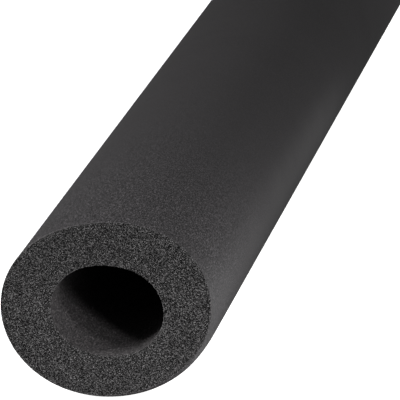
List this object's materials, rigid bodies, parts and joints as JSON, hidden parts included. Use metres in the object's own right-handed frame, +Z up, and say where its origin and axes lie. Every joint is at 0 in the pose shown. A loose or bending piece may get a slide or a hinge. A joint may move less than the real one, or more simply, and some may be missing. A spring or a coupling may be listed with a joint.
{
  "type": "foam pipe insulation tube",
  "caption": "Straight length of black closed-cell rubber foam pipe insulation: a soft thick-walled tube with a smooth skin, an open bore for the pipe and plain cut ends.",
  "frame": {"origin": "bottom centre of the bounding box: under the middle of the tube, on the surface it lies on", "axes": "+Z up, Y along the tube with the cut end the picture shows at -Y, X across it along the section's slightly wider direction"},
  "size_m": [0.0566, 1, 0.0513],
  "materials": {
    "foam": "matt black closed-cell foam: smooth faintly grained skin outside, open grey-black cell grain on the cut ends, dull dark bore"
  },
  "bodies": {
    "root": {"foam_tube": "foam"}
  },
  "joints": []
}
